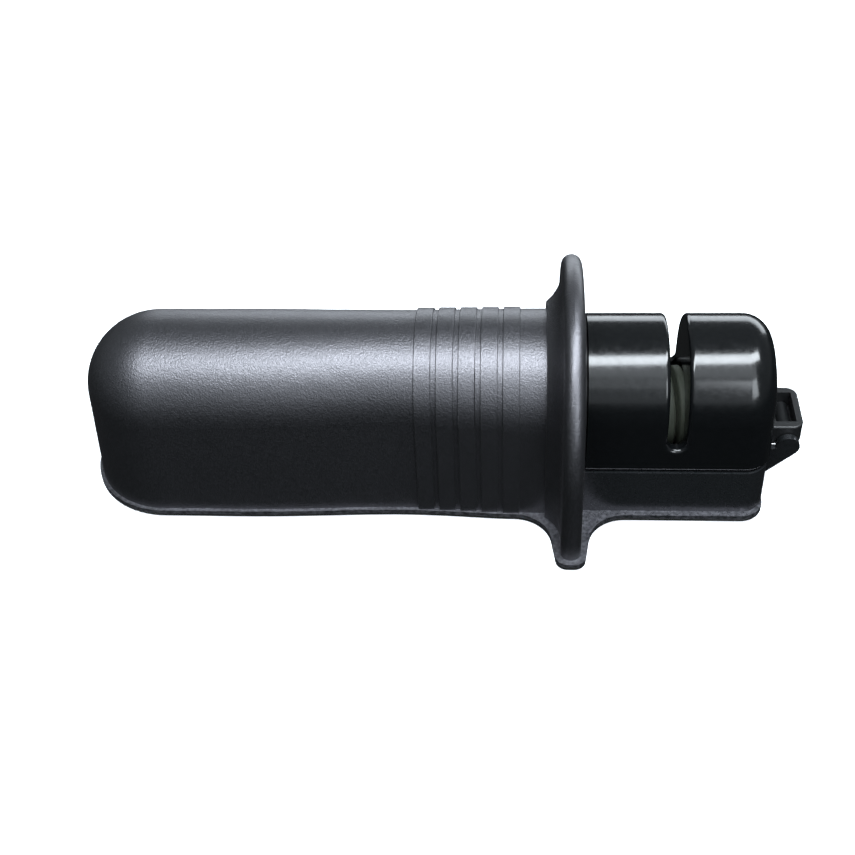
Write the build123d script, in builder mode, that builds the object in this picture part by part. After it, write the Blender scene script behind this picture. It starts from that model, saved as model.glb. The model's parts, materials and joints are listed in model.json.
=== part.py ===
"""Hand-held pull-through knife sharpener, in millimetres.

+X points from the butt of the handle to the nose, +Y to the far side, +Z up. The origin is at the
centre of the bounding box in plan, on the surface that the four rubber feet stand on.
"""

from build123d import *
from math import cos, hypot, radians, sin, tan
import os

# Overall
foot_proud = 0.5  # feet stand this far below the base plate
wall_draft = 3.5  # side walls lean out towards the base, degrees
join_depth = 0.5  # how far a moulded rib or boss runs into its wall
pick_slack = 0.1  # allowance when an edge is picked by its place

# Handle
handle_top = 46.5 + foot_proud
handle_radius = 18.75
butt_axis_x = -70.8
# Arch radius along the handle: the grip narrows to a waist, then swells towards the guard.
handle_stations = [
    (butt_axis_x, handle_radius),
    (-63, 18.76),
    (-48, 18.8),
    (-27, 18.1),
    (-9, 17.5),
    (10, 18.3),
    (24, 19.1),
    (32, 19.2),
]
handle_cavity_radius = 15.2
handle_cavity_end_x = 27.0
ring_count = 5
ring_start_x = -4.6
ring_pitch = 5.4
ring_width = 4.15
ring_proud = 0.5
ring_round = 0.2

# Hand guard
guard_x = 33.85
guard_thickness = 5.0
guard_radius = 36.4
guard_top = 59.2 + foot_proud
guard_draft = 1.0
rim_flat = 0.05  # left between the rim's two fillets
collar_x = 27.6
collar_proud = 1.95
flare_reach = 9.6  # how far the concave flare climbs out from the handle
root_x = 37.2  # head-side face of the guard at the cover

# Head
head_radius = 17.7
head_top = 45.45 + foot_proud
nose_x = 83.9
nose_lean = 1.2  # degrees
nose_radius = 7.0
tray_nose_x = 82.7
tray_nose_radius = 6.0
parting_z = 14.6 + foot_proud
parting_gap = 0.3
ledge = 0.3  # the tray stands this far outside the cover
cover_wall = 2.4
tray_wall = 2.2
tray_floor_z = 4.0 + foot_proud
tray_floor = 2.0
cover_start_x = 37.6
tongue_gap = 0.35
tongue_wall = 1.25
tongue_drop = 2.0
tongue_start_gap = 0.3

# Flange and base plate
flange_width = 0.9
head_flange_half = 21.2
plate_edge = 0.9
flange_thickness = 1.1
plate_z = foot_proud
flange_z = plate_z + plate_edge
flange_top = flange_z + flange_thickness
edge_round = 0.3
lug_half_tip = 3.35
lug_taper = 8.5  # degrees
lug_tip_y = 38.2
lug_tip_radius = 3.0
lug_flare_radius = 9.5
panel_top = plate_z + 2.0
panel_gap = 0.3

# Knife slot
slot_x = 59.4
slot_width = 4.6
slot_bottom_z = 21.5 + foot_proud
slot_lip = 1.1
cheek_wall = 1.8
cheek_drop = 2.5  # how far the cheeks reach below the slot
wheel_room = 1.1  # between the wheels and the cover's cheeks

# Wheels, axle and cradle, all square to an axle skewed in plan
skew = 6.0  # degrees
axle_z = 20.0 + foot_proud
axle_radius = 2.0
axle_half = 9.2
axle_chamfer = 0.3
clip_groove_in = 8.3
clip_groove_out = 8.9
clip_groove_radius = 1.6
clip_radius = 3.4
clip_mouth = 2.2
clip_thickness = 0.5
clip_hole_radius = 0.4
clip_hole_reach = 2.1
wheel_radius = 10.5
wheel_half = 2.8
wheel_round = 0.6
groove_depth = 2.0
groove_half_angle = 20.0
hub_radius = 4.0
hub_flange_radius = 5.4
hub_flange = 0.5
spacer_radius = 3.4
spacer_gap = 0.2
running_clearance = 0.05
fit_clearance = 0.02
cradle_cheek_in = 6.0
cradle_cheek = 2.0
cradle_base = 1.6
cradle_half_x = 14.0
cradle_half_y = 9.0
cradle_cheek_half = 5.2
cradle_cheek_flare = 2.6
cradle_corner = 2.0

# Nose hinge
pin_x = 88.3
pin_z = 15.2 + foot_proud
pin_radius = 1.0
ear_in = 8.0
ear_out = 9.8
ear_radius = 2.9
ear_root = 1.2  # how far the ears run into the nose
ear_skin = 0.5  # the near ear's hole is blind
gusset_angle = 44.4
arm_in = 5.5
arm_out = 7.7
arm_radius = 2.4
link_bottom = 14.6 + foot_proud
link_top = 20.1 + foot_proud
link_root = 1.3
link_bar = 1.7
link_corner = 2.8
link_edge = 0.5
link_overrun = 1.0  # trimmed off again by the cover's nose
link_floor = 1.0
link_barrel_radius = 1.8
peg_y = 3.7
peg_z = 18.0 + foot_proud
peg_radius = 1.2
peg_end_x = 79.7
peg_hole_length = 8.0
washer_radius = 2.6
washer_thickness = 0.5
washer_slits = 3
washer_slit = (0.9, 0.35)

# Fasteners
base_screw_places = [(-62, 0), (-24, 0), (14, 0), (42.6, -13.6), (42.6, 13.6), (78.6, 0)]
rib_places = [-62, -24, 14]
rib_thickness = 1.8
boss_radius = 3.4
boss_cap = 1.0  # solid plastic above a screw's hole
handle_boss_top = 18.0
head_boss_top = 9.5
screw_radius = 1.45
screw_hole_radius = 1.5
base_screw_head = 2.8
base_screw_sink = 3.0
base_screw_recess = 3.2
cradle_screw_grid = (22.0, 11.0)
cradle_screw_head = 2.6
cradle_screw_head_height = 1.5
cradle_screw_dome = 0.7
cradle_screw_recess = 2.8
screw_tip = 1.0
screw_end_gap = 0.5
recess_width = 0.7
recess_depth = 0.9
foot_places = [(-71, -10), (-71, 10), (73, -12), (73, 12)]
foot_radius = 4.5
foot_recess = 0.7


def on_skewed_axle(height):
    """Plane at the slot, square to Z at a height, with X along the skewed axle."""
    along = (cos(radians(skew)), sin(radians(skew)), 0)
    return Plane(origin=(slot_x, 0, height), x_dir=along, z_dir=(0, 0, 1))


axle_axis = Axis((slot_x, 0, axle_z), (cos(radians(skew)), sin(radians(skew)), 0))
turning_plane = Plane(
    origin=(slot_x, 0, axle_z),
    x_dir=(cos(radians(skew)), sin(radians(skew)), 0),
    z_dir=(sin(radians(skew)), -cos(radians(skew)), 0),
)


def handle_radius_at(x):
    """Arch radius of the grip at a place along it, straight between the stations."""
    for (x0, r0), (x1, r1) in zip(handle_stations, handle_stations[1:]):
        if x <= x1:
            return r0 + (r1 - r0) * (x - x0) / (x1 - x0)
    return handle_stations[-1][1]


def arch_points(radius, top_z, base_z, draft):
    """Half-width and height where an arch meets its drafted wall, and the wall's foot."""
    join_y = radius * cos(radians(draft))
    join_z = top_z - radius + radius * sin(radians(draft))
    foot_y = join_y + (join_z - base_z) * tan(radians(draft))
    return join_y, join_z, foot_y


def arch_face(x, radius, top_z, base_z=0.0, draft=wall_draft):
    """Cross-section square to X: a half-round top on two walls that lean out to the base."""
    join_y, join_z, foot_y = arch_points(radius, top_z, base_z, draft)
    with BuildSketch(Plane.YZ.offset(x)) as face:
        with BuildLine():
            Polyline((-join_y, join_z), (-foot_y, base_z), (foot_y, base_z), (join_y, join_z))
            ThreePointArc((join_y, join_z), (0, top_z), (-join_y, join_z))
        make_face()
    return face.sketch


def half_arch_face(x, radius, top_z, base_z=0.0, draft=wall_draft):
    """The +Y half of the cross-section, for turning the butt end."""
    join_y, join_z, foot_y = arch_points(radius, top_z, base_z, draft)
    middle = radians((90 + draft) / 2)
    arc_middle = (radius * cos(middle), top_z - radius + radius * sin(middle))
    with BuildSketch(Plane.YZ.offset(x)) as face:
        with BuildLine():
            Polyline((0, top_z), (0, base_z), (foot_y, base_z), (join_y, join_z))
            ThreePointArc((join_y, join_z), arc_middle, (0, top_z))
        make_face()
    return face.sketch


def slab(low_z, high_z):
    """A block over the whole plan between two heights, for cutting and keeping."""
    with BuildPart(Plane.XY.offset(low_z)) as block:
        Box(300, 200, high_z - low_z, align=(Align.CENTER, Align.CENTER, Align.MIN))
    return block.part


def head_form(inset, start_x, end_x=nose_x, end_lean=nose_lean, end_radius=nose_radius):
    """Outer form of the head, or the same form a wall thickness further in."""
    lean = radians(end_lean)
    nose = Plane(origin=(end_x - inset, 0, 0), x_dir=(0, 1, 0), z_dir=(cos(lean), 0, sin(lean)))
    with BuildPart() as form:
        face = arch_face(start_x, head_radius - inset, head_top - inset)
        extrude(face, amount=end_x + 10 - start_x, dir=(1, 0, 0))
        split(bisect_by=nose, keep=Keep.BOTTOM)
        nose_face = form.faces().sort_by(Axis.X)[-1]
        round_edges = nose_face.edges().sort_by(Axis.Z)[1:]
        fillet(round_edges, radius=end_radius - inset)
    return form.part


def tray_form(inset, start_x):
    """Form of the head's tray, a little wider than the cover and shorter at the nose."""
    return head_form(inset - ledge, start_x, tray_nose_x - ledge, 0, tray_nose_radius - ledge)


def flare_ends(side, half):
    """Where the flare from the flange's edge into the guard's lug starts and ends, on the -Y side."""
    taper = radians(lug_taper)
    end_y = -half - lug_flare_radius * (1 - sin(taper))
    end_x = guard_x + side * (lug_half_tip + (end_y + lug_tip_y) * tan(taper))
    return (end_x + side * lug_flare_radius * cos(taper), -half), (end_x, end_y)


def flange_outline():
    """Plan of the flange: round butt, waisted handle, a lug under each side of the guard, head."""
    butt_half = handle_flange_half(butt_axis_x)
    butt_end = (butt_axis_x - butt_half, 0)
    quarter = butt_half * cos(radians(45))
    waist_end_x = collar_x - lug_flare_radius
    waist = [(x, -handle_flange_half(x)) for x, _ in handle_stations if x < waist_end_x]
    grip_flare, grip_lug = flare_ends(-1, handle_flange_half(waist_end_x))
    head_flare, head_lug = flare_ends(1, head_flange_half)
    with BuildSketch() as outline:
        with BuildLine():
            ThreePointArc(butt_end, (butt_axis_x - quarter, -quarter), waist[0])
            Spline(*waist, grip_flare, tangents=[(1, 0), (1, 0)])
            TangentArc(grip_flare, grip_lug, tangent=(1, 0))
            Polyline(
                grip_lug,
                (guard_x - lug_half_tip, -lug_tip_y),
                (guard_x + lug_half_tip, -lug_tip_y),
                head_lug,
            )
            TangentArc(head_flare, head_lug, tangent=(-1, 0))
            Polyline(head_flare, (tray_nose_x, -head_flange_half), (tray_nose_x, 0))
            mirror(about=Plane.XZ)
        make_face()
        nose_corners = outline.vertices().filter_by(lambda v: v.X > tray_nose_x - 1 and abs(v.Y) > 1)
        fillet(nose_corners, radius=tray_nose_radius)
        lug_corners = outline.vertices().filter_by(lambda v: abs(v.Y) > lug_tip_y - 1)
        fillet(lug_corners, radius=lug_tip_radius)
    return outline.sketch


def handle_flange_half(x):
    """Half-width of the flange beside the grip."""
    radius = handle_radius_at(x)
    return arch_points(radius, handle_top, flange_top, wall_draft)[2] + flange_width


def guard_plate():
    """The guard's arched plate with its full-round rim."""
    with BuildPart() as plate:
        face = arch_face(guard_x - guard_thickness / 2, guard_radius, guard_top, draft=guard_draft)
        extrude(face, amount=guard_thickness, dir=(1, 0, 0))
        rim = plate.faces().filter_by(Axis.X).edges().filter_by(lambda e: e.center().Z > 1)
        fillet(rim, radius=guard_thickness / 2 - rim_flat)
    return plate.part


def guard_flare():
    """Collar and concave flare on the handle side, taper on the head side, swept round the arch."""
    join_y, join_z, foot_y = arch_points(handle_radius, handle_top, -4, wall_draft)
    face_x = guard_x - guard_thickness / 2
    with BuildPart() as flare:
        with BuildLine() as path:
            Line((0, -foot_y, -4), (0, -join_y, join_z))
            ThreePointArc((0, -join_y, join_z), (0, 0, handle_top), (0, join_y, join_z))
            Line((0, join_y, join_z), (0, foot_y, -4))
        start = Plane(origin=path.line @ 0, x_dir=(1, 0, 0), z_dir=path.line % 0)
        run = face_x - collar_x
        rise = flare_reach - collar_proud
        flare_radius = (run**2 + rise**2) / (2 * run)
        with BuildSketch(start):
            with BuildLine():
                collar_edge = (collar_x, -collar_proud)
                flare_top = (face_x, -flare_reach)
                RadiusArc(collar_edge, flare_top, flare_radius)
                Polyline(
                    flare_top,
                    (guard_x, -flare_reach - 1),
                    (guard_x + guard_thickness / 2 - 0.1, -flare_reach),
                    (root_x, 1.0),
                    (root_x, 3.0),
                    (collar_x, 3.0),
                    collar_edge,
                )
            make_face()
        sweep(path=path.line)
    return flare.part


def handle_form():
    """Waisted grip with its round butt, solid."""
    with BuildPart() as form:
        loft([arch_face(x, radius, handle_top) for x, radius in handle_stations])
        revolve(
            half_arch_face(butt_axis_x, handle_radius, handle_top),
            axis=Axis((butt_axis_x, 0, 0), (0, 0, 1)),
            revolution_arc=180,
        )
    return form.part


def grip_ring(index):
    """One raised band across the grip."""
    start = ring_start_x + index * ring_pitch
    radius = handle_radius_at(start + ring_width / 2) + ring_proud
    with BuildPart() as ring:
        extrude(arch_face(start, radius, handle_top + ring_proud), amount=ring_width, dir=(1, 0, 0))
        ends = ring.faces().filter_by(Axis.X).edges().filter_by(lambda e: e.center().Z > 1)
        fillet(ends, radius=ring_round)
    return ring.part


def boss_top_at(x):
    """Top of a base screw's boss: tall in the handle, short in the head."""
    return handle_boss_top if x < guard_x else head_boss_top


def ear(side):
    """Gusseted ear that carries one end of the hinge pin. side is -1 near, +1 far."""
    lean = radians(gusset_angle)
    tangent = (pin_x + ear_radius * sin(lean), pin_z - ear_radius * cos(lean))
    root_x_inside = tray_nose_x - ear_root
    drop = (tangent[0] - root_x_inside) * tan(lean)
    with BuildPart() as lug:
        with BuildSketch(Plane.XZ.offset(-side * ear_in)):
            with Locations((pin_x, pin_z)):
                Circle(ear_radius)
            with BuildLine():
                Polyline(
                    (root_x_inside, parting_z),
                    (pin_x, parting_z),
                    (pin_x, pin_z),
                    tangent,
                    (root_x_inside, tangent[1] - drop),
                    (root_x_inside, parting_z),
                )
            make_face()
        extrude(amount=-side * (ear_out - ear_in))
    return lug.part


def handle_space(inset=0.0):
    """Hollow of the handle, open below, or the same a little further in."""
    radius = handle_cavity_radius - inset
    top = handle_top - handle_radius + radius
    with BuildPart() as space:
        face = arch_face(butt_axis_x, radius, top)
        extrude(face, amount=handle_cavity_end_x - inset - butt_axis_x, dir=(1, 0, 0))
        revolve(
            half_arch_face(butt_axis_x, radius, top),
            axis=Axis((butt_axis_x, 0, 0), (0, 0, 1)),
            revolution_arc=180,
        )
    return space.part


def tray_space(inset=0.0):
    """Hollow of the head's lower part, or the same a little further in."""
    return tray_form(tray_wall + inset, root_x + tray_wall + inset)


# Housing: handle, guard and head tray moulded in one, open underneath
with BuildPart() as housing:
    add(handle_form())
    for ring_index in range(ring_count):
        add(grip_ring(ring_index))
    add(guard_plate())
    add(guard_flare())
    add(tray_form(0, guard_x) & slab(0, parting_z))
    for ear_side in (-1, 1):
        add(ear(ear_side))
    split(bisect_by=Plane.XY.offset(flange_z), keep=Keep.TOP)
    with BuildSketch(Plane.XY.offset(flange_z)):
        add(flange_outline())
    extrude(amount=flange_thickness)
    # Hollow the handle, and the tray above and below its floor.
    add(handle_space(), mode=Mode.SUBTRACT)
    add(tray_space() & slab(tray_floor_z + tray_floor, 40), mode=Mode.SUBTRACT)
    add(tray_space() & slab(0, tray_floor_z), mode=Mode.SUBTRACT)
    # Ribs across the handle, and bosses for the base plate's and the cradle's screws.
    for rib_x in rib_places:
        rib_radius = handle_cavity_radius + join_depth
        rib_face = arch_face(
            rib_x - rib_thickness / 2, rib_radius, handle_top - handle_radius + rib_radius, panel_top
        )
        extrude(rib_face, amount=rib_thickness, dir=(1, 0, 0))
    for boss_x, boss_y in base_screw_places:
        with BuildSketch(Plane.XY.offset(panel_top)):
            with Locations((boss_x, boss_y)):
                Circle(boss_radius)
        extrude(amount=boss_top_at(boss_x) - panel_top)
    with BuildSketch(on_skewed_axle(panel_top)):
        with GridLocations(*cradle_screw_grid, 2, 2):
            Circle(boss_radius)
    extrude(amount=tray_floor_z + join_depth - panel_top)
    # Screw holes, and the hinge pin's bores, of which the near one is blind.
    for boss_x, boss_y in base_screw_places:
        with BuildSketch(Plane.XY.offset(flange_z)):
            with Locations((boss_x, boss_y)):
                Circle(screw_hole_radius)
        extrude(amount=boss_top_at(boss_x) - boss_cap - flange_z, mode=Mode.SUBTRACT)
    with BuildSketch(on_skewed_axle(flange_z)):
        with GridLocations(*cradle_screw_grid, 2, 2):
            Circle(screw_hole_radius)
    extrude(amount=tray_floor_z + tray_floor - flange_z + 1, mode=Mode.SUBTRACT)
    with BuildSketch(Plane.XZ.offset(ear_out - ear_skin)):
        with Locations((pin_x, pin_z)):
            Circle(pin_radius)
    extrude(amount=-(2 * ear_out), mode=Mode.SUBTRACT)


# Base plate: closes the housing, with a raised panel that locates in each hollow
with BuildPart() as base_plate:
    with BuildSketch(Plane.XY.offset(plate_z)):
        add(flange_outline())
    extrude(amount=plate_edge)
    outer_edges = base_plate.faces().filter_by(Axis.Z).edges()
    fillet(outer_edges, radius=edge_round)
    add(handle_space(panel_gap) & slab(flange_z, panel_top))
    add(tray_space(panel_gap) & slab(flange_z, panel_top))
    for screw_x, screw_y in base_screw_places:
        with Locations(Plane(origin=(screw_x, screw_y, plate_z), z_dir=(0, 0, -1))):
            CounterSinkHole(screw_hole_radius, base_screw_head + fit_clearance, base_screw_sink, 90)
    with BuildSketch(Plane.XY.offset(plate_z)):
        with Locations(*foot_places):
            Circle(foot_radius + fit_clearance)
    extrude(amount=foot_recess, mode=Mode.SUBTRACT)

# Rubber feet, seated in the base plate's recesses
feet = []
for foot_x, foot_y in foot_places:
    with BuildPart() as foot:
        with BuildSketch():
            with Locations((foot_x, foot_y)):
                Circle(foot_radius)
        extrude(amount=foot_proud + foot_recess)
        fillet(foot.faces().sort_by(Axis.Z)[0].edges(), radius=edge_round)
    feet.append(foot.part)


def cross_recess(size):
    """Cuts a screw's cross recess, upwards from the current locations."""
    for length_x, length_y in ((size, recess_width), (recess_width, size)):
        Box(
            length_x,
            length_y,
            recess_depth,
            align=(Align.CENTER, Align.CENTER, Align.MIN),
            mode=Mode.SUBTRACT,
        )


# Countersunk screws that hold the base plate
base_screws = []
for screw_x, screw_y in base_screw_places:
    with BuildPart() as base_screw:
        with BuildSketch(Plane.XZ.offset(-screw_y)):
            head_z = plate_z
            sink_z = plate_z + base_screw_head - screw_radius
            tip_z = boss_top_at(screw_x) - boss_cap - screw_end_gap
            with BuildLine():
                Polyline(
                    (screw_x, head_z),
                    (screw_x + base_screw_head, head_z),
                    (screw_x + screw_radius, sink_z),
                    (screw_x + screw_radius, tip_z - screw_tip),
                    (screw_x + screw_radius / 2, tip_z),
                    (screw_x, tip_z),
                    close=True,
                )
            make_face()
        revolve(axis=Axis((screw_x, screw_y, 0), (0, 0, 1)))
        with Locations((screw_x, screw_y, plate_z)):
            cross_recess(base_screw_recess)
    base_screws.append(base_screw.part)

# Steel cradle: a flat foot with two upright cheeks that carry the axle
cradle_foot_z = tray_floor_z + tray_floor
cradle_cheek_middle = cradle_cheek_in + cradle_cheek / 2
with BuildPart() as wheel_cradle:
    with BuildSketch(on_skewed_axle(cradle_foot_z)):
        RectangleRounded(2 * cradle_half_x, 2 * cradle_half_y, cradle_corner)
    extrude(amount=cradle_base)
    for cheek_side in (-1, 1):
        cheek_plane = Plane(
            origin=(axle_axis.position + axle_axis.direction * (cheek_side * cradle_cheek_middle)),
            x_dir=(-sin(radians(skew)), cos(radians(skew)), 0),
            z_dir=axle_axis.direction,
        )
        with BuildSketch(cheek_plane):
            Circle(cradle_cheek_half)
            drop = axle_z - cradle_foot_z - cradle_base / 2
            with BuildLine():
                Polyline(
                    (-cradle_cheek_half, 0),
                    (cradle_cheek_half, 0),
                    (cradle_cheek_half + cradle_cheek_flare, -drop),
                    (-cradle_cheek_half - cradle_cheek_flare, -drop),
                    close=True,
                )
            make_face()
            Circle(axle_radius + fit_clearance, mode=Mode.SUBTRACT)
        extrude(amount=cradle_cheek / 2, both=True)
    with BuildSketch(on_skewed_axle(cradle_foot_z)):
        with GridLocations(*cradle_screw_grid, 2, 2):
            Circle(screw_hole_radius)
    extrude(amount=cradle_base, mode=Mode.SUBTRACT)

# Pan-head screws that hold the cradle to the tray floor
cradle_screws = []
for spot in on_skewed_axle(cradle_foot_z + cradle_base).location * GridLocations(*cradle_screw_grid, 2, 2):
    screw_plane = Plane(spot)
    with BuildPart() as cradle_screw:
        with BuildSketch(screw_plane):
            Circle(cradle_screw_head)
        extrude(amount=cradle_screw_head_height)
        fillet(cradle_screw.faces().sort_by(Axis.Z)[-1].edges(), radius=cradle_screw_dome)
        with BuildSketch(screw_plane):
            Circle(screw_radius)
        extrude(amount=-(cradle_foot_z + cradle_base - panel_top - panel_gap))
        with Locations(screw_plane.offset(cradle_screw_head_height - recess_depth)):
            cross_recess(cradle_screw_recess)
    cradle_screws.append(cradle_screw.part)


def turned(points):
    """Solid of revolution about the skewed axle, from (along, radius) points."""
    with BuildPart() as piece:
        with BuildSketch(turning_plane):
            with BuildLine():
                Polyline(*points, close=True)
            make_face()
        revolve(axis=axle_axis)
    return piece.part


# Axle with a groove near each end for its circlip
axle_points = [
    (-axle_half, 0),
    (-axle_half, axle_radius - axle_chamfer),
    (-axle_half + axle_chamfer, axle_radius),
    (-clip_groove_out, axle_radius),
    (-clip_groove_out, clip_groove_radius),
    (-clip_groove_in, clip_groove_radius),
    (-clip_groove_in, axle_radius),
]
axle_points += [(-along, radius) for along, radius in reversed(axle_points)]
axle = turned(axle_points)

# Two ceramic rings on one hub: their bevelled inner rims make the V groove
rim_in = groove_depth * tan(radians(groove_half_angle))
ring_bore = hub_radius + fit_clearance
wheels = {}
for wheel_name, wheel_side in (("wheel_left", -1), ("wheel_right", 1)):
    wheel_points = [
        (0, ring_bore),
        (0, wheel_radius - groove_depth),
        (wheel_side * rim_in, wheel_radius),
        (wheel_side * wheel_half, wheel_radius),
        (wheel_side * wheel_half, ring_bore),
    ]
    with BuildPart() as wheel:
        add(turned(wheel_points))
        circles = wheel.edges().filter_by(GeomType.CIRCLE)
        rims = circles.filter_by(lambda e: e.radius > wheel_radius - pick_slack)
        fillet(rims, radius=wheel_round)
    wheels[wheel_name] = wheel.part

bore = axle_radius + running_clearance
hub_half = wheel_half + hub_flange
wheel_hub = turned(
    [
        (-hub_half, bore),
        (-hub_half, hub_flange_radius),
        (-wheel_half, hub_flange_radius),
        (-wheel_half, hub_radius),
        (hub_half, hub_radius),
        (hub_half, bore),
    ]
)

# Spacers between the hub and the cradle's cheeks
spacers = {}
for spacer_name, spacer_side in (("spacer_left", -1), ("spacer_right", 1)):
    spacer_in = hub_half + spacer_gap
    spacer_out = cradle_cheek_in - running_clearance
    spacer_bore = axle_radius + fit_clearance
    spacer_points = [
        (spacer_in, spacer_bore),
        (spacer_in, spacer_radius),
        (spacer_out, spacer_radius),
        (spacer_out, spacer_bore),
    ]
    spacers[spacer_name] = turned([(spacer_side * along, radius) for along, radius in spacer_points])

# Open circlips in the axle's grooves
circlips = {}
for clip_name, clip_side in (("circlip_left", -1), ("circlip_right", 1)):
    clip_along = clip_side * (clip_groove_in + clip_groove_out) / 2
    clip_plane = Plane(
        origin=axle_axis.position + axle_axis.direction * clip_along,
        x_dir=(0, 0, 1),
        z_dir=axle_axis.direction,
    )
    with BuildPart() as circlip:
        with BuildSketch(clip_plane):
            Circle(clip_radius)
            Circle(clip_groove_radius + fit_clearance, mode=Mode.SUBTRACT)
            with Locations((-clip_mouth, 0)):
                Rectangle(2 * clip_mouth, clip_mouth, mode=Mode.SUBTRACT)
            for hole_y in (-clip_hole_reach, clip_hole_reach):
                with Locations((-clip_groove_radius, hole_y)):
                    Circle(clip_hole_radius, mode=Mode.SUBTRACT)
        extrude(amount=clip_thickness / 2, both=True)
    circlips[clip_name] = circlip.part

# Hinge pin, pressed into the ears
with BuildPart() as hinge_pin:
    with BuildSketch(Plane.XZ.offset(ear_out - ear_skin)):
        with Locations((pin_x, pin_z)):
            Circle(pin_radius)
    extrude(amount=-(2 * ear_out - ear_skin))


def on_slot_lip(edge):
    """True for an edge where the knife slot opens through the cover's outer surface."""
    middle = edge @ 0.5
    join_y, join_z, _ = arch_points(head_radius, head_top, 0, wall_draft)
    if middle.Z > join_z:
        outside = hypot(middle.Y, middle.Z - head_top + head_radius) > head_radius - pick_slack
    else:
        outside = abs(middle.Y) > join_y + (join_z - middle.Z) * tan(radians(wall_draft)) - pick_slack
    return outside and abs(middle.X - slot_x) < slot_width / 2 + pick_slack


# Head cover: a glossy shell with the knife slot and its two guide cheeks
with BuildPart() as head_cover:
    add(head_form(0, cover_start_x))
    split(bisect_by=Plane.XY.offset(parting_z + parting_gap), keep=Keep.TOP)
    add(head_form(cover_wall, cover_start_x + cover_wall), mode=Mode.SUBTRACT)
    # Guide cheeks beside the slot, cut back round the wheels.
    for cheek_side in (-1, 1):
        cheek_start = slot_x + cheek_side * (slot_width / 2 + cheek_wall / 2) - cheek_wall / 2
        web = extrude(
            arch_face(cheek_start, head_radius - 1, head_top - 1, slot_bottom_z - cheek_drop),
            amount=cheek_wall,
            dir=(1, 0, 0),
            mode=Mode.PRIVATE,
        )
        room_radius = wheel_radius + wheel_room
        room = extrude(
            arch_face(cheek_start - 1, room_radius, axle_z + room_radius, draft=0),
            amount=cheek_wall + 2,
            dir=(1, 0, 0),
            mode=Mode.PRIVATE,
        )
        add(web - room)
    # Locating tongue that drops inside the tray's walls, left out at the nose.
    tongue_start_x = cover_start_x + cover_wall + tongue_start_gap
    tongue_inset = tray_wall - ledge + tongue_gap
    tongue_outer = head_form(tongue_inset, tongue_start_x)
    tongue_inner = head_form(tongue_inset + tongue_wall, tongue_start_x + tongue_wall)
    tongue = (tongue_outer - tongue_inner) & slab(parting_z - tongue_drop, parting_z + cover_wall)
    with BuildPart(mode=Mode.PRIVATE) as nose_block:
        with Locations((tray_nose_x - tray_nose_radius, 0, parting_z)):
            Box(20, 60, 20, align=(Align.MIN, Align.CENTER, Align.CENTER))
    add(tongue - nose_block.part)
    # Slot with a round bottom at each side, right through along Y.
    with BuildSketch(Plane.XZ):
        with BuildLine():
            slot_centre_z = slot_bottom_z + slot_width / 2
            left = slot_x - slot_width / 2
            right = slot_x + slot_width / 2
            Polyline(
                (left, slot_centre_z), (left, head_top + 5), (right, head_top + 5), (right, slot_centre_z)
            )
            ThreePointArc((right, slot_centre_z), (slot_x, slot_bottom_z), (left, slot_centre_z))
        make_face()
    slot_cut = extrude(amount=40, both=True, mode=Mode.PRIVATE)
    add(slot_cut, mode=Mode.SUBTRACT)
    fillet(head_cover.edges().filter_by(on_slot_lip), radius=slot_lip)
    # Holes for the hinge link's pegs.
    with BuildSketch(Plane.YZ.offset(peg_end_x)):
        with Locations((-peg_y, peg_z), (peg_y, peg_z)):
            Circle(peg_radius + fit_clearance)
    extrude(amount=peg_hole_length, mode=Mode.SUBTRACT)

# Hinge link: a box frame pegged to the cover's nose, whose arms and barrel turn on the pin
link_outer_x = handle_flange_half(butt_axis_x) - butt_axis_x
link_height = link_top - link_bottom
with BuildPart() as hinge_link:
    link_start_x = nose_x - link_overrun
    window_start = nose_x + link_root
    window_end = link_outer_x - link_bar
    with BuildSketch(Plane.XY.offset(link_bottom)):
        with Locations(((link_start_x + link_outer_x) / 2, 0)):
            Rectangle(link_outer_x - link_start_x, 2 * arm_out)
    extrude(amount=link_height)
    with BuildSketch(Plane.XY.offset(link_bottom + link_floor)):
        with Locations(((window_start + window_end) / 2, 0)):
            Rectangle(window_end - window_start, 2 * arm_in)
    extrude(amount=link_height, mode=Mode.SUBTRACT)
    upright = hinge_link.edges().filter_by(Axis.Z)
    fillet(upright.filter_by(lambda e: e.center().X > link_outer_x - pick_slack), radius=link_corner)
    fillet(hinge_link.faces().sort_by(Axis.Z)[-1].outer_wire().edges().sort_by(Axis.X)[1:], radius=link_edge)
    for arm_side in (-1, 1):
        with BuildSketch(Plane.XZ.offset(-arm_side * arm_in)):
            with Locations((pin_x, pin_z)):
                Circle(arm_radius)
        extrude(amount=-arm_side * (arm_out - arm_in))
    with BuildSketch(Plane.XZ):
        with Locations((pin_x, pin_z)):
            Circle(link_barrel_radius)
    extrude(amount=arm_in, both=True)
    add(head_form(0, cover_start_x), mode=Mode.SUBTRACT)
    with BuildSketch(Plane.YZ.offset(peg_end_x)):
        with Locations((-peg_y, peg_z), (peg_y, peg_z)):
            Circle(peg_radius)
    extrude(amount=window_start - peg_end_x)
    with BuildSketch(Plane.XZ):
        with Locations((pin_x, pin_z)):
            Circle(pin_radius + running_clearance)
    extrude(amount=arm_out + 1, both=True, mode=Mode.SUBTRACT)

# Push-on star washers that hold the link's pegs inside the cover
peg_washers = []
washer_face_x = nose_x - cover_wall - peg_z * tan(radians(nose_lean)) - parting_gap / 3
for washer_y in (-peg_y, peg_y):
    with BuildPart() as peg_washer:
        with BuildSketch(Plane.YZ.offset(washer_face_x)):
            with Locations((washer_y, peg_z)):
                Circle(washer_radius)
                Circle(peg_radius + fit_clearance, mode=Mode.SUBTRACT)
                with PolarLocations(peg_radius + washer_slit[1], washer_slits):
                    Rectangle(*washer_slit, mode=Mode.SUBTRACT)
        extrude(amount=-washer_thickness)
    peg_washers.append(peg_washer.part)

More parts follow.
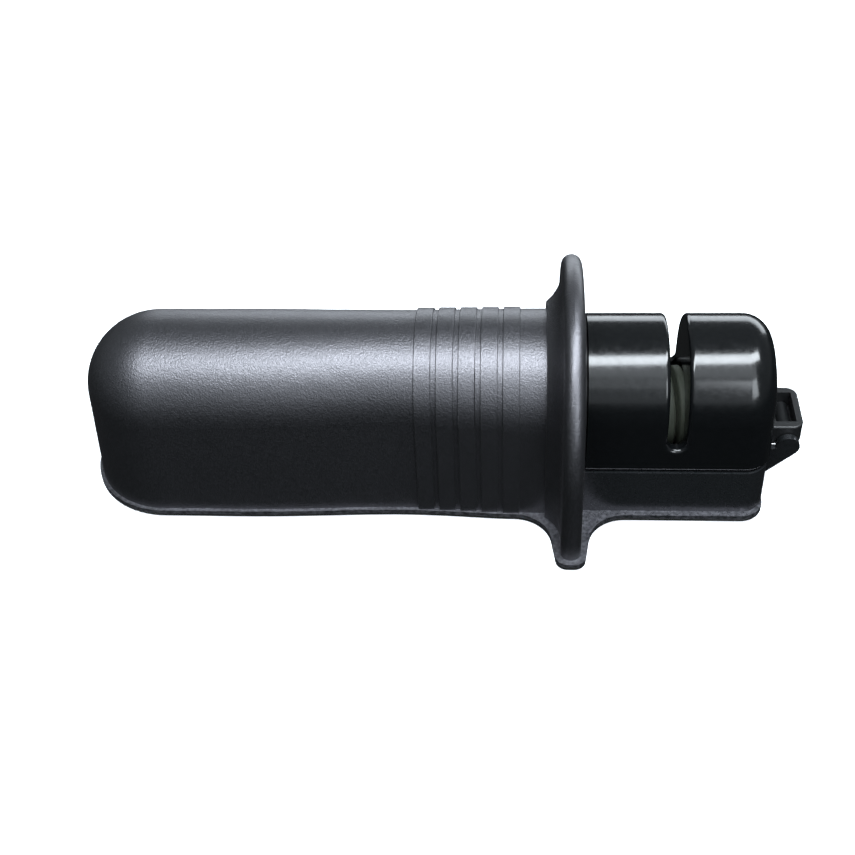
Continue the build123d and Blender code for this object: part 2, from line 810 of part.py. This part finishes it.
# Write each piece to its own file, under its node's name.
pieces = {
    "housing": housing.part,
    "base_plate": base_plate.part,
    "wheel_cradle": wheel_cradle.part,
    "axle": axle,
    **wheels,
    "wheel_hub": wheel_hub,
    **spacers,
    **circlips,
    "hinge_pin": hinge_pin.part,
    "head_cover": head_cover.part,
    "hinge_link": hinge_link.part,
}
for series, solids in (
    ("foot", feet),
    ("base_screw", base_screws),
    ("cradle_screw", cradle_screws),
    ("peg_washer", peg_washers),
):
    for number, solid in enumerate(solids, start=1):
        pieces[f"{series}_{number}"] = solid

os.makedirs("parts", exist_ok=True)
for node, piece in pieces.items():
    piece.label = node
    export_step(piece, f"parts/{node}.step")
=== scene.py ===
"""Looks, light and camera for the hand-held knife sharpener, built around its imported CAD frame."""

import json
from math import cos, pi, radians, sin, tan

import bpy
from mathutils import Matrix, Vector

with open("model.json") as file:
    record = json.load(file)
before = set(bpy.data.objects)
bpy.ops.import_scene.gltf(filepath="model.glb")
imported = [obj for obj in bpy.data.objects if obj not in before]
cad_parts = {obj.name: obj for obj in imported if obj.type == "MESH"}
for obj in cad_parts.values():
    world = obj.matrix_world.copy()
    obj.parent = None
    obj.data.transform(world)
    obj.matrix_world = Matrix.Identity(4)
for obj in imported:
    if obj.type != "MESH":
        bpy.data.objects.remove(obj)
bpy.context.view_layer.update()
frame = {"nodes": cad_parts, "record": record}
nodes = frame["nodes"]

MM = 0.001

# The housing is one moulding, whose finish changes at these places; on the flange, below its top, a
# speckled painted highlight is laid into the colour.
TRAY_FROM_X = 37.0 * MM  # just beyond the guard's face on the head's side
FLANGE_TOP_Z = 2.55 * MM

# ---------------------------------------------------------------- materials


class Nodes:
    """A few short calls for writing a material's node tree."""

    def __init__(self, name):
        self.material = bpy.data.materials.new(name)
        self.material.use_nodes = True
        self.tree = self.material.node_tree
        self.shader = self.tree.nodes["Principled BSDF"]
        self.place = self.tree.nodes.new("ShaderNodeTexCoord").outputs["Object"]

    def feed(self, socket, value):
        if isinstance(value, bpy.types.NodeSocket):
            self.tree.links.new(value, socket)
        else:
            socket.default_value = value

    def add(self, kind, inputs, **settings):
        node = self.tree.nodes.new(kind)
        for key, value in settings.items():
            setattr(node, key, value)
        for key, value in inputs.items():
            self.feed(node.inputs[key], value)
        return node

    def noise(self, scale, detail=2.0, roughness=0.5):
        inputs = {"Vector": self.place, "Scale": scale, "Detail": detail, "Roughness": roughness}
        return self.add("ShaderNodeTexNoise", inputs).outputs["Fac"]

    def voronoi(self, scale):
        inputs = {"Vector": self.place, "Scale": scale}
        return self.add("ShaderNodeTexVoronoi", inputs).outputs["Distance"]

    def spread(self, value, low, high, to_low=0.0, to_high=1.0):
        """Maps low..high to to_low..to_high, and holds the ends beyond them."""
        inputs = {
            "Value": value,
            "From Min": low,
            "From Max": high,
            "To Min": to_low,
            "To Max": to_high,
        }
        return self.add("ShaderNodeMapRange", inputs).outputs["Result"]

    def math(self, operation, a, b):
        return self.add("ShaderNodeMath", {0: a, 1: b}, operation=operation).outputs[0]

    def mix(self, share, low, high):
        node = self.add("ShaderNodeMix", {}, data_type="RGBA")
        sockets = {socket.identifier: socket for socket in node.inputs}
        self.feed(sockets["Factor_Float"], share)
        self.feed(sockets["A_Color"], low)
        self.feed(sockets["B_Color"], high)
        return next(socket for socket in node.outputs if socket.identifier == "Result_Color")

    def colours(self, share, low, high):
        return self.mix(share, (*low, 1.0), (*high, 1.0))

    def bump(self, height, distance, strength):
        inputs = {"Height": height, "Distance": distance, "Strength": strength}
        return self.add("ShaderNodeBump", inputs).outputs["Normal"]

    def set(self, **inputs):
        """Sets the shader's inputs, whose names are written with underscores for spaces."""
        for key, value in inputs.items():
            self.feed(self.shader.inputs[key.replace("_", " ")], value)
        return self.material


def grained_plastic():
    """Black moulding: spark-grained grip and guard, a smoother tray, and a flange with a speckled
    painted highlight.
    """
    n = Nodes("grained_black_plastic")
    place = n.add("ShaderNodeSeparateXYZ", {"Vector": n.place}).outputs
    grip_share = n.spread(place["X"], TRAY_FROM_X, TRAY_FROM_X + 1 * MM, to_low=1.0, to_high=0.0)
    flange_top = n.spread(
        place["Z"], FLANGE_TOP_Z, FLANGE_TOP_Z + 0.1 * MM, to_low=1.0, to_high=0.0
    )

    grain = n.noise(scale=1700, detail=3.0, roughness=0.6)
    pit_share = 0.45
    relief = n.math("ADD", grain, n.math("MULTIPLY", n.voronoi(scale=2800), pit_share))
    relief_strength = n.spread(grip_share, 0.0, 1.0, to_low=0.12, to_high=0.55)

    blotch = n.noise(scale=90, detail=4.0, roughness=0.6)
    grip_colour = n.colours(blotch, (0.0012, 0.0016, 0.0018), (0.0025, 0.0031, 0.0035))
    tray_colour = n.colours(blotch, (0.004, 0.005, 0.0055), (0.006, 0.0072, 0.0078))
    # Painted highlight: lighter grey speckled over the flange, standing in for light caught along
    # its top face.
    flange_highlight_colour = (0.06, 0.06, 0.066, 1.0)
    highlight_speckle = n.spread(n.noise(scale=1100, detail=4.0, roughness=0.7), 0.42, 0.62)
    painted_highlight_share = n.math("MULTIPLY", highlight_speckle, flange_top)
    colour = n.mix(painted_highlight_share, n.mix(grip_share, tray_colour, grip_colour), flange_highlight_colour)

    grip_roughness = n.spread(grain, 0.3, 0.7, to_low=0.37, to_high=0.48)
    polish = n.spread(grip_share, 0.0, 1.0, to_low=0.12, to_high=0.0)
    return n.set(
        Base_Color=colour,
        Roughness=n.math("SUBTRACT", grip_roughness, polish),
        IOR=1.75,
        Specular_IOR_Level=0.8,
        Specular_Tint=(0.95, 0.93, 1.0, 1.0),
        Normal=n.bump(relief, distance=0.14 * MM, strength=relief_strength),
    )


def gloss_plastic():
    """Polished black moulding, with a faint wave in its surface: the cover."""
    n = Nodes("polished_black_plastic")
    wave = n.noise(scale=60, detail=1.0)
    haze = n.noise(scale=700, detail=4.0, roughness=0.7)
    return n.set(
        Base_Color=n.colours(haze, (0.002, 0.0025, 0.0028), (0.004, 0.0045, 0.005)),
        Roughness=n.spread(haze, 0.35, 0.7, to_low=0.13, to_high=0.22),
        Normal=n.bump(wave, distance=0.2 * MM, strength=0.15),
    )


def satin_plastic(name, low, high):
    """Fine-grained moulding between two colours: base plate, hinge link, hub and spacers."""
    n = Nodes(name)
    grain = n.noise(scale=1800, detail=3.0, roughness=0.6)
    return n.set(
        Base_Color=n.colours(grain, low, high),
        Roughness=n.spread(grain, 0.3, 0.7, to_low=0.36, to_high=0.5),
        Normal=n.bump(grain, distance=0.03 * MM, strength=0.4),
    )


def steel(name, low, high):
    """Satin sheet or turned steel, a little clouded by its plating."""
    n = Nodes(name)
    satin = n.noise(scale=5200)
    cloud = n.noise(scale=240, detail=3.0)
    return n.set(
        Base_Color=n.colours(cloud, low, high),
        Metallic=1.0,
        Roughness=n.spread(satin, 0.3, 0.7, to_low=0.27, to_high=0.38),
        Normal=n.bump(satin, distance=0.004 * MM, strength=0.3),
    )


def ceramic():
    """Fine abrasive ceramic: the sharpening wheels."""
    n = Nodes("abrasive_ceramic")
    grit = n.voronoi(scale=4200)
    speck = n.noise(scale=1500, detail=4.0, roughness=0.7)
    return n.set(
        Base_Color=n.colours(speck, (0.022, 0.027, 0.018), (0.065, 0.074, 0.053)),
        Roughness=n.spread(speck, 0.3, 0.7, to_low=0.55, to_high=0.8),
        Normal=n.bump(grit, distance=0.04 * MM, strength=0.6),
    )


def rubber():
    """Matt black rubber: the feet."""
    n = Nodes("rubber")
    grain = n.noise(scale=1300, detail=3.0)
    return n.set(
        Base_Color=n.colours(grain, (0.012, 0.012, 0.012), (0.03, 0.03, 0.03)),
        Roughness=n.spread(grain, 0.3, 0.7, to_low=0.7, to_high=0.9),
        Normal=n.bump(grain, distance=0.03 * MM, strength=0.5),
    )


def paper():
    """Pale paper that glows a little, so that it stays pale far from the lights: the floor."""
    n = Nodes("paper")
    fibre = n.noise(scale=220, detail=3.0)
    return n.set(
        Base_Color=n.colours(fibre, (0.86, 0.86, 0.86), (0.9, 0.9, 0.9)),
        Roughness=0.9,
        Specular_IOR_Level=0.1,
        Emission_Color=(0.9, 0.95, 1.0, 1.0),
        Emission_Strength=0.75,
    )


finishes = {
    "housing": grained_plastic(),
    "cover": gloss_plastic(),
    "base": satin_plastic("satin_black_plastic", (0.005, 0.0055, 0.006), (0.01, 0.0105, 0.011)),
    "hub": satin_plastic("grey_plastic", (0.03, 0.03, 0.032), (0.06, 0.06, 0.062)),
    "rubber": rubber(),
    "ceramic": ceramic(),
    "steel": steel("bright_steel", (0.42, 0.42, 0.43), (0.62, 0.62, 0.63)),
    "pin_steel": steel("pin_steel", (0.4, 0.4, 0.41), (0.6, 0.6, 0.61)),
}

for part in frame["record"]["subparts"]:
    for slot in nodes[part["node"]].material_slots:
        slot.material = finishes[part["material_slot"]]

# ---------------------------------------------------------------- stage

FLOOR_SIZE = 40.0


def add_to_scene(name, data):
    thing = bpy.data.objects.new(name, data)
    bpy.context.scene.collection.objects.link(thing)
    return thing


def pale_floor():
    """A wide floor that only the camera sees, so that it doesn't light the object from below."""
    half = FLOOR_SIZE / 2
    mesh = bpy.data.meshes.new("floor")
    corners = [(-half, -half, 0), (half, -half, 0), (half, half, 0), (-half, half, 0)]
    mesh.from_pydata(corners, [], [(0, 1, 2, 3)])
    mesh.materials.append(paper())
    floor = add_to_scene("floor", mesh)
    floor.visible_glossy = False
    floor.visible_diffuse = False
    floor.visible_shadow = False
    return floor


pale_floor()

# ---------------------------------------------------------------- light

LIGHT_COLOUR = (0.87, 0.94, 1.0)
ROOM_COLOUR = (0.88, 0.95, 1.0, 1.0)
ROOM_AS_SEEN = 0.93  # as bright as the far floor, so that no horizon shows
PANEL_AIM = (0.0, 0.0, 0.02)


def area_light(name, place, aim, height, width, power):
    """A rectangular soft light, its width level, that the camera doesn't see."""
    data = bpy.data.lights.new(name, "AREA")
    data.shape = "RECTANGLE"
    data.size = height
    data.size_y = width
    data.energy = power
    data.color = LIGHT_COLOUR
    light = add_to_scene(name, data)
    light.location = place
    light.rotation_euler = (Vector(aim) - Vector(place)).to_track_quat("-Z", "X").to_euler()
    light.visible_camera = False


def panel(name, azimuth, elevation, distance, spread, width, radiance):
    """A soft light placed by its direction. Its height is spread, in degrees from the object."""
    height = 2 * distance * tan(radians(spread / 2))
    flat = distance * cos(radians(elevation))
    place = (
        flat * cos(radians(azimuth)),
        flat * sin(radians(azimuth)),
        distance * sin(radians(elevation)),
    )
    area_light(name, place, PANEL_AIM, height, width, power=radiance * pi * height * width)


PANELS = [
    # name, azimuth, elevation, distance, spread, width, radiance
    ("front_box_top", -88, 61, 0.95, 18, 1.0, 2.1),
    ("front_box_middle", -88, 43, 0.95, 18, 1.0, 1.2),
    ("front_box_foot", -88, 22, 0.95, 24, 1.0, 0.45),
    ("window", -61.5, 31, 1.25, 27, 0.42, 7.0),
]

area_light(
    "overhead_box",
    place=(0.10, -0.13, 0.62),
    aim=(0.05, 0.0, 0.02),
    height=0.15,
    width=0.85,
    power=9.4,
)
for settings in PANELS:
    panel(*settings)
area_light(
    "back_card",
    place=(0.15, 0.75, 0.14),
    aim=(0.0, 0.0, 0.05),
    height=0.27,
    width=1.0,
    power=3.2,
)


def studio_world():
    """A soft room, darker below the table's level, that the camera sees as pale as the floor."""
    world = bpy.data.worlds.new("studio")
    bpy.context.scene.world = world
    world.use_nodes = True
    tree = world.node_tree
    direction = tree.nodes.new("ShaderNodeTexCoord").outputs["Generated"]
    split = tree.nodes.new("ShaderNodeSeparateXYZ")
    tree.links.new(direction, split.inputs[0])

    room = tree.nodes.new("ShaderNodeMapRange")
    room.interpolation_type = "SMOOTHSTEP"
    tree.links.new(split.outputs["Z"], room.inputs["Value"])
    heights_and_strengths = {"From Min": -0.15, "From Max": 0.2, "To Min": 0.02, "To Max": 0.2}
    for key, value in heights_and_strengths.items():
        room.inputs[key].default_value = value

    seen = tree.nodes.new("ShaderNodeLightPath").outputs["Is Camera Ray"]
    strength = tree.nodes.new("ShaderNodeMix")
    tree.links.new(seen, strength.inputs["Factor"])
    tree.links.new(room.outputs["Result"], strength.inputs["A"])
    strength.inputs["B"].default_value = ROOM_AS_SEEN

    background = tree.nodes["Background"]
    background.inputs["Color"].default_value = ROOM_COLOUR
    tree.links.new(strength.outputs["Result"], background.inputs["Strength"])


studio_world()

# ---------------------------------------------------------------- camera


def photo_camera():
    """The camera looks down on the near side at the photograph's angle, a little rolled."""
    place = Vector((0.02121, -0.25627, 0.24985))
    aim = Vector((-0.00296, 0.0, 0.01270))
    roll_share = 0.0579
    forward = (aim - place).normalized()
    level = forward.cross(Vector((0, 0, 1))).normalized()
    up = level.cross(forward)
    up = (up + level * roll_share).normalized()
    right = forward.cross(up).normalized()

    data = bpy.data.cameras.new("camera")
    data.lens = 56.2
    data.sensor_width = 36.0
    data.clip_start = 0.01
    camera = add_to_scene("camera", data)
    turn = Matrix((right, up, -forward)).transposed().to_4x4()
    camera.matrix_world = Matrix.Translation(place) @ turn
    bpy.context.scene.camera = camera


photo_camera()
bpy.context.scene.view_settings.view_transform = "Standard"
